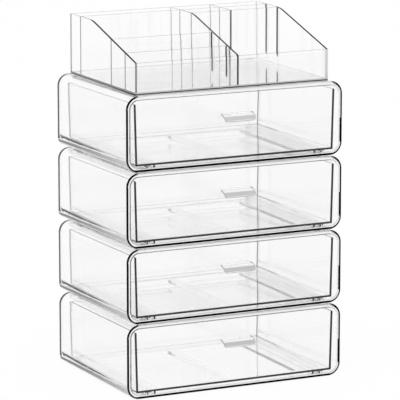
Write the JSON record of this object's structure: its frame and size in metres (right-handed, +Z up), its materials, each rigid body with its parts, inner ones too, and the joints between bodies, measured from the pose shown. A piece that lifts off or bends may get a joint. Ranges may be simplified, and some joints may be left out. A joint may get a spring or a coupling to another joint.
{
  "type": "stacked drawer organizer",
  "caption": "Stack of clear round-cornered drawer units with pull-out drawers, under an open compartment tray with a sloping front.",
  "frame": {"origin": "on the surface it stands on, under the middle of the whole outline, pulls included", "axes": "+X to the right as one faces the drawers, +Y to the back, +Z up; the drawers open towards -Y"},
  "size_m": [0.305, 0.2362, 0.4664],
  "materials": {
    "casing_clear": "clear moulded, polished",
    "drawer_box_clear": "clear moulded, polished",
    "drawer_front_clear": "clear, polished",
    "drawer_pull_clear": "clear, polished",
    "tray_sheet_clear": "clear cast sheet, polished faces and edges",
    "foot_pad": "clear soft pad, satin"
  },
  "bodies": {
    "casing_unit_1": {"casing_1": "casing_clear", "casing_feet_1": "foot_pad"},
    "drawer_1": {"drawer_box_1": "drawer_box_clear", "drawer_front_1": "drawer_front_clear", "drawer_pull_1": "drawer_pull_clear"},
    "casing_unit_2": {"casing_2": "casing_clear", "casing_feet_2": "foot_pad"},
    "drawer_2": {"drawer_box_2": "drawer_box_clear", "drawer_front_2": "drawer_front_clear", "drawer_pull_2": "drawer_pull_clear"},
    "casing_unit_3": {"casing_3": "casing_clear", "casing_feet_3": "foot_pad"},
    "drawer_3": {"drawer_box_3": "drawer_box_clear", "drawer_front_3": "drawer_front_clear", "drawer_pull_3": "drawer_pull_clear"},
    "casing_unit_4": {"casing_4": "casing_clear", "casing_feet_4": "foot_pad"},
    "drawer_4": {"drawer_box_4": "drawer_box_clear", "drawer_front_4": "drawer_front_clear", "drawer_pull_4": "drawer_pull_clear"},
    "tray": {"tray_base": "tray_sheet_clear", "tray_front_wall": "tray_sheet_clear", "tray_back_wall": "tray_sheet_clear", "tray_left_side": "tray_sheet_clear", "tray_right_side": "tray_sheet_clear", "tray_middle_divider": "tray_sheet_clear", "tray_short_divider": "tray_sheet_clear", "tray_back_row_wall": "tray_sheet_clear", "tray_brush_row_wall": "tray_sheet_clear", "tray_left_middle_wall": "tray_sheet_clear", "tray_left_front_wall": "tray_sheet_clear"}
  },
  "joints": [
    {"name": "drawer_1_slide", "type": "slide", "parent": "casing_unit_1", "child": "drawer_1", "axis": [0, -1, 0], "range_m": [0, 0.15]},
    {"name": "drawer_2_slide", "type": "slide", "parent": "casing_unit_2", "child": "drawer_2", "axis": [0, -1, 0], "range_m": [0, 0.15]},
    {"name": "drawer_3_slide", "type": "slide", "parent": "casing_unit_3", "child": "drawer_3", "axis": [0, -1, 0], "range_m": [0, 0.15]},
    {"name": "drawer_4_slide", "type": "slide", "parent": "casing_unit_4", "child": "drawer_4", "axis": [0, -1, 0], "range_m": [0, 0.15]},
    {"name": "unit_2_lift", "type": "slide", "parent": "casing_unit_1", "child": "casing_unit_2", "axis": [0, 0, 1], "range_m": [0, 0.03]},
    {"name": "unit_3_lift", "type": "slide", "parent": "casing_unit_2", "child": "casing_unit_3", "axis": [0, 0, 1], "range_m": [0, 0.03]},
    {"name": "unit_4_lift", "type": "slide", "parent": "casing_unit_3", "child": "casing_unit_4", "axis": [0, 0, 1], "range_m": [0, 0.03]},
    {"name": "tray_lift", "type": "slide", "parent": "casing_unit_4", "child": "tray", "axis": [0, 0, 1], "range_m": [0, 0.05]}
  ]
}
